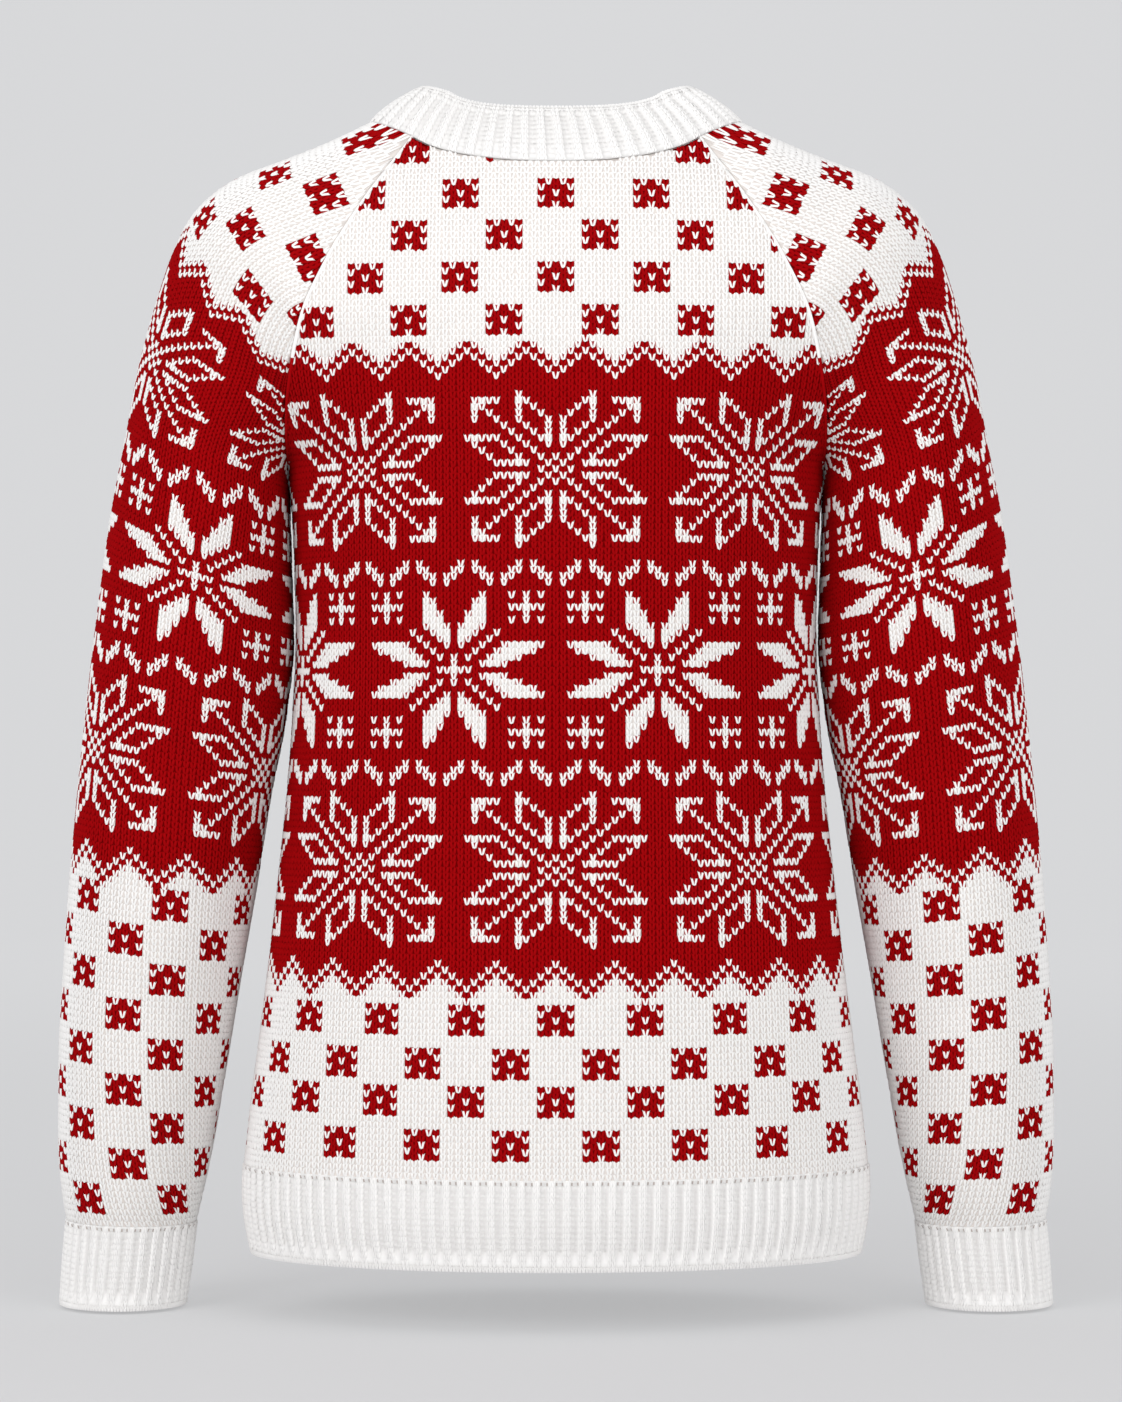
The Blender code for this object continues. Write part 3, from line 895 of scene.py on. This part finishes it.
def rib_piece(name, node, grid, ribs, wall, bare_low, bare_high, seed, eyelets=True):
    """A rib: cloth in ridges and furrows, two sided with a rounded edge, and the stitches on its outer face.

    The grid's rows run from the free edge to the seam that joins the rib on. Bare low and bare high are how
    many rows have no furrows at each.
    """
    rng = np.random.default_rng(seed)
    rows = len(grid) - 1
    knit = Knitting(grid, middle=0.0, creases=False)
    knit.relief = rib_relief(ribs, rows, bare_low, bare_high)
    columns = ribs * RIB_COLUMNS
    round_it = knit.high - knit.low
    share = np.arange(columns) / columns
    levels = np.linspace(0, rows, RIB_OUTER)
    outer = [(r, -RIB_SKIN) for r in levels[:0:-1]]
    edge = [(0.25, -0.45), (0.06, -0.9), (0.0, -wall * 0.5), (0.06, -wall + 0.4)]
    inner = [(r, -wall) for r in np.linspace(0.3, rows, RIB_INNER)]
    points = []
    for row, high in outer + edge + inner:
        at = np.full(columns, float(row))
        along = share * np.interp(row, np.arange(rows + 1), round_it)
        points.append(knit.place(along, at, np.full(columns, high)))
    points = np.array(points)
    faces = grid_faces(len(points) + 1, columns, closed=True, turned=not knit.turned) % (columns * len(points))
    # Furrow and hole are painted shade: the darker white of the furrows, purl stitches and cloth, and the dark
    # patch of an eyelet.
    white, _, _, _, furrow, hole = wools()
    cloth = mesh_piece(name, points.reshape(-1, 3), faces, [furrow])

    rib = np.arange(ribs)
    parts, slots = [], []
    row_at = np.arange(rows).astype(float)

    def cells(first, wide, shape, mirrors, lowest, highest, slot=0):
        n, r = (g.ravel() for g in np.meshgrid(rib, row_at))
        keep = (r >= lowest) & (r <= highest)
        n, r = n[keep], r[keep]

        def side(share):
            return lambda row: (n + share) / ribs * np.interp(row, np.arange(rows + 1), round_it)

        for mirrored in mirrors:
            parts.append(leaves(knit, side(first), side(first + wide), r, shape, mirrored, rng, RIB_LOOSE))
            slots.extend([slot] * (len(r) * len(LEG_FACES)))

    half = RIB_KNIT / 2
    purl = (1 - RIB_KNIT) / 2
    for n in range(2):
        cells(n * half, half, RIB_LEG, (False, True), 0, rows)
        cells(RIB_KNIT + n * purl, purl, RIB_LEG, (False, True), 0, bare_low - 1)
        # Purl stitches take the furrows' darker white, painted shade.
        cells(RIB_KNIT + n * purl, purl, PURL, (False,), bare_low - 0.5, rows - bare_high - 0.5, 1)
        if eyelets:
            # Each eyelet is a dark patch, painted shade where a hole would be.
            cells(EYELETS_AT[n], EYELET_WIDE, EYELET, (False,), rows - 1, rows, 2)
    stitched, stitch_faces = joined(parts)
    knitted = mesh_piece(name + "_stitches", stitched, stitch_faces, [white, furrow, hole], np.array(slots))
    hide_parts(node)


def hem_grid(rows):
    """The hem rib's outer face, from its free edge up."""
    u = np.linspace(-1, 1, FORM_STEPS + 1)
    ring = np.concatenate((body_points("back", u, HEM_TOP), body_points("front", -u, HEM_TOP)[1:]))
    found = []
    for share in np.linspace(1, 0, rows + 1):
        swell = HEM_WAIST * math.sin(math.pi * share) - HEM_DRAW * share ** 2
        flat = ring * (1, 1, 0)
        z = HEM_TOP + (HEM_BOTTOM - HEM_TOP) * share
        found.append(flat * (1 + swell / np.linalg.norm(flat, axis=1))[:, None] + (0, 0, z))
    return np.array(found)


def cuff_grid(hand, rows):
    """A cuff's outer face, from its free edge up."""
    v = np.linspace(-1, 1, 2 * FORM_STEPS + 1)
    seam = sleeve_points(float(CUFF_STATION), v)
    centre = seam[:-1].mean(axis=0)
    found = []
    for share in np.linspace(1, 0, rows + 1):
        draw = 1 + (CUFF_DRAW - 1) * share ** 2
        drop = share * np.array((CUFF_TURNED, -CUFF_FORWARD, -CUFF_TALL))
        found.append((centre + (seam - centre) * (draw, draw, 1 - share) + drop) * (hand, 1, 1))
    return np.array(found)


def neck_ring():
    """The neck edge all round, from the wearer's right shoulder over the back."""
    u = np.linspace(-1, 1, 161)
    v = np.linspace(-1, 1, 121)
    back = body_points("back", u, neck_edge("back", u))
    front = body_points("front", u, neck_edge("front", u))
    shoulder = sleeve_points(0.0, v)
    return np.concatenate((back, shoulder[::-1][1:], front[::-1][1:], (shoulder * (-1, 1, 1))[1:]))


def neckband_grid(rows):
    """The neckband's outer face, from its free edge down."""
    ring = neck_ring()
    inward = ring * (BAND_TOP_WIDE - 1, BAND_TOP_DEEP - 1, 0)
    rise = np.sqrt(BAND_TALL ** 2 - np.sum(inward * inward, axis=1))
    found = []
    for share in np.linspace(1, 0, rows + 1):
        up = rise * (1 - (1 - share) ** BAND_ROUND)
        found.append(ring + inward * share ** BAND_ROUND + np.stack((0 * up, 0 * up, up), axis=-1))
    return np.array(found)


# --- User settings, operators and panel ---


def colour_of(name, description, default):
    """A setting that is a colour."""
    return bpy.props.FloatVectorProperty(
        name=name, description=description, default=default, subtype="COLOR", size=3, min=0, max=1)


def share_of(name, description, default):
    """A setting from nothing to all."""
    return bpy.props.FloatProperty(
        name=name, description=description, default=default, subtype="FACTOR", min=0, max=1)


class PulloverYarn(bpy.types.PropertyGroup):
    white: colour_of("White", "Colour of the white wool", (0.92, 0.905, 0.89))
    red: colour_of("Red", "Colour of the red wool", (0.35, 0.0015, 0.003))
    # Hollow Shade sets painted shade: how much darker the white cloth between stitches is drawn than the white
    # yarn.
    hollow: share_of("Hollow Shade", "Brightness of white cloth seen between stitches", 0.8)
    eyelet: colour_of("Eyelet", "Shade seen through the small holes above a rib", (0.5, 0.44, 0.41))
    # Furrow Shade sets painted shade: how much darker the white is drawn between a rib's ridges.
    furrow: share_of("Furrow Shade", "Brightness of the wool between the ridges of a rib", 0.89)


class PulloverRibs(bpy.types.PropertyGroup):
    hem: bpy.props.IntProperty(name="Hem Ribs", description="Ribs round the hem", default=108, min=40, max=160)
    cuff: bpy.props.IntProperty(name="Cuff Ribs", description="Ribs round a cuff", default=33, min=12, max=60)
    neck: bpy.props.IntProperty(
        name="Neckband Ribs", description="Ribs round the neck", default=62, min=20, max=120)


class PulloverStage(bpy.types.PropertyGroup):
    distance: bpy.props.FloatProperty(
        name="Camera Distance", description="From the camera to the middle of the pullover", default=2.5, min=1,
        max=10, unit="LENGTH")
    wide: bpy.props.FloatProperty(
        name="View Width", description="Width seen at the pullover", default=0.6311, min=0.1, max=5,
        unit="LENGTH")
    pale: colour_of("Floor", "Colour of the floor and backdrop", (0.27, 0.27, 0.272))
    # Glow is painted light that lifts the pullover's shadow on the floor.
    glow: share_of("Glow", "Light that the floor and backdrop give, as a light table does", 0.4)
    light: bpy.props.FloatProperty(
        name="Light", description="Brightness of the studio lights", default=1.0, min=0, max=10)


class PULLOVER_OT_body(bpy.types.Operator):
    """Knit the back and the front."""
    bl_idname = "pullover.body"
    bl_label = "Back and Front"

    def execute(self, context):
        body_panel("back", 11)
        body_panel("front", 12)
        return {"FINISHED"}


class PULLOVER_OT_sleeves(bpy.types.Operator):
    """Knit both raglan sleeves."""
    bl_idname = "pullover.sleeves"
    bl_label = "Sleeves"

    def execute(self, context):
        sleeve_piece("sleeve_left", 1, 21)
        sleeve_piece("sleeve_right", -1, 22)
        return {"FINISHED"}


class PULLOVER_OT_neckband(bpy.types.Operator):
    """Knit the ribbed neckband."""
    bl_idname = "pullover.neckband"
    bl_label = "Neckband"

    def execute(self, context):
        ribs = context.scene.pullover_ribs.neck
        rib_piece("neck_rib", "neckband", neckband_grid(12), ribs, wall=3.0, bare_low=1.5, bare_high=0.6,
                  seed=31, eyelets=False)
        return {"FINISHED"}


class PULLOVER_OT_hem(bpy.types.Operator):
    """Knit the hem rib."""
    bl_idname = "pullover.hem"
    bl_label = "Hem"

    def execute(self, context):
        ribs = context.scene.pullover_ribs.hem
        rib_piece("waist_rib", "hem_rib", hem_grid(16), ribs, wall=2.8, bare_low=1.6, bare_high=0.3, seed=41)
        return {"FINISHED"}


class PULLOVER_OT_cuffs(bpy.types.Operator):
    """Knit both cuffs."""
    bl_idname = "pullover.cuffs"
    bl_label = "Cuffs"

    def execute(self, context):
        ribs = context.scene.pullover_ribs.cuff
        for side, hand, seed in (("left", 1, 51), ("right", -1, 52)):
            rib_piece(f"cuff_{side}_rib", f"cuff_{side}", cuff_grid(hand, 15), ribs, wall=2.8, bare_low=1.6,
                      bare_high=0.3, seed=seed)
        return {"FINISHED"}


FLOOR_GAP = 0.0015       # below the pullover, in metres as all of the stage is
# The paper's glow colour is painted light.
PAPER = {"size": 24, "y": 5.5, "wall": 8, "bend": 2.2, "glow": (0.98, 0.985, 1.0, 1.0)}
SKY = {"colour": (0.97, 0.98, 1.0, 1.0), "strength": 0.72}
CAMERA = {"x": -0.0028, "z": -0.325, "shift": 0.026, "sensor": 36.0}
# Place, target (the pullover's middle where there is none), size and power of each light.
LIGHTS = {
    "key": ((1.8, 2.2, 0.6), None, (1.6, 1.6), 36),
    "fill": ((-1.6, 2.4, 0.1), None, (1.8, 1.4), 26),
    "top": ((0, 0.8, 2.1), None, (2.2, 1.6), 5),
    "wall": ((0, -3.2, 3.2), (0, -6.5, 0.2), (4.0, 1.5), 70),
}


def area_light(name, place, target, size, power):
    """A rectangular light turned to its target."""
    lamp = bpy.data.lights.new(name, "AREA")
    lamp.shape = "RECTANGLE"
    lamp.size, lamp.size_y = size
    lamp.energy = power
    holder = bpy.data.objects.new(name, lamp)
    holder.location = place
    holder.rotation_euler = (Vector(target) - Vector(place)).to_track_quat("-Z", "Y").to_euler()
    bpy.context.scene.collection.objects.link(holder)


class PULLOVER_OT_stage(bpy.types.Operator):
    """Set the floor, backdrop, lights and camera."""
    bl_idname = "pullover.stage"
    bl_label = "Stage"

    def execute(self, context):
        stage = context.scene.pullover_stage
        low, high = (Vector(corner) for corner in CAD_BOX)
        floor = low.z - FLOOR_GAP
        bpy.ops.object.select_all(action="DESELECT")
        bpy.ops.mesh.primitive_plane_add(size=PAPER["size"], location=(0, PAPER["y"], floor))
        sweep = context.active_object
        sweep.name = "backdrop"
        bpy.ops.object.mode_set(mode="EDIT")
        bpy.ops.mesh.select_all(action="DESELECT")
        bpy.ops.object.mode_set(mode="OBJECT")
        for edge in sweep.data.edges:
            edge.select = all(sweep.data.vertices[v].co.y < 0 for v in edge.vertices)
        bpy.ops.object.mode_set(mode="EDIT")
        bpy.ops.mesh.select_mode(type="EDGE")
        bpy.ops.mesh.extrude_region_move(TRANSFORM_OT_translate={"value": (0, 0, PAPER["wall"])})
        bpy.ops.object.mode_set(mode="OBJECT")
        bpy.ops.object.transform_apply(location=True, rotation=True, scale=True)
        curve = sweep.modifiers.new("sweep", "BEVEL")
        curve.width = PAPER["bend"]
        curve.segments = 16
        curve.limit_method = "ANGLE"
        bpy.ops.object.modifier_apply(modifier="sweep")
        sweep.data.shade_smooth()
        paper = bpy.data.materials.new("paper")
        paper.use_nodes = True
        face = shader(paper).inputs
        face["Base Color"].default_value = (*stage.pale, 1.0)
        # Painted light: the floor and backdrop glow, which lifts the pullover's shadow on the floor.
        face["Emission Color"].default_value = PAPER["glow"]
        face["Emission Strength"].default_value = stage.glow
        face["Roughness"].default_value = 0.95
        face["Specular IOR Level"].default_value = 0.1
        sweep.data.materials.append(paper)

        middle = Vector((0, 0, (low.z + high.z) / 2))
        for name, (place, target, size, power) in LIGHTS.items():
            area_light(name, place, target or middle, size, power * stage.light)
        world = bpy.data.worlds.new("studio")
        world.use_nodes = True
        sky = world.node_tree.nodes["Background"]
        sky.inputs["Color"].default_value = SKY["colour"]
        sky.inputs["Strength"].default_value = SKY["strength"] * stage.light
        context.scene.world = world

        lens = bpy.data.cameras.new("camera")
        lens.sensor_fit = "HORIZONTAL"
        lens.sensor_width = CAMERA["sensor"]
        lens.lens = lens.sensor_width * stage.distance / stage.wide
        lens.shift_y = CAMERA["shift"]
        camera = bpy.data.objects.new("camera", lens)
        camera.location = (CAMERA["x"], stage.distance, CAMERA["z"])
        camera.rotation_euler = (math.pi / 2, 0, math.pi)
        context.scene.collection.objects.link(camera)
        context.scene.camera = camera
        context.scene.view_settings.view_transform = "Standard"
        return {"FINISHED"}


class PULLOVER_PT_panel(bpy.types.Panel):
    """Every step of the pullover, in the order it is made."""
    bl_label = "Pullover"
    bl_idname = "PULLOVER_PT_panel"
    bl_space_type = "VIEW_3D"
    bl_region_type = "UI"
    bl_category = "Pullover"

    def draw(self, context):
        scene = context.scene
        for settings in (scene.pullover_yarn, scene.pullover_ribs, scene.pullover_stage):
            box = self.layout.box()
            for name in settings.bl_rna.properties.keys():
                if name not in ("rna_type", "name"):
                    box.prop(settings, name)
        for operator in OPERATORS:
            self.layout.operator(operator.bl_idname)


SETTINGS = (PulloverYarn, PulloverRibs, PulloverStage)
OPERATORS = (
    PULLOVER_OT_stage, PULLOVER_OT_body, PULLOVER_OT_sleeves, PULLOVER_OT_neckband, PULLOVER_OT_hem,
    PULLOVER_OT_cuffs,
)


def register():
    for made in (*SETTINGS, *OPERATORS, PULLOVER_PT_panel):
        bpy.utils.register_class(made)
    bpy.types.Scene.pullover_yarn = bpy.props.PointerProperty(type=PulloverYarn)
    bpy.types.Scene.pullover_ribs = bpy.props.PointerProperty(type=PulloverRibs)
    bpy.types.Scene.pullover_stage = bpy.props.PointerProperty(type=PulloverStage)


def unregister():
    del bpy.types.Scene.pullover_stage
    del bpy.types.Scene.pullover_ribs
    del bpy.types.Scene.pullover_yarn
    for made in reversed((*SETTINGS, *OPERATORS, PULLOVER_PT_panel)):
        bpy.utils.unregister_class(made)


def main():
    register()
    bpy.ops.pullover.stage()
    bpy.ops.pullover.body()
    bpy.ops.pullover.sleeves()
    bpy.ops.pullover.neckband()
    bpy.ops.pullover.hem()
    bpy.ops.pullover.cuffs()


if __name__ == "__main__":
    main()
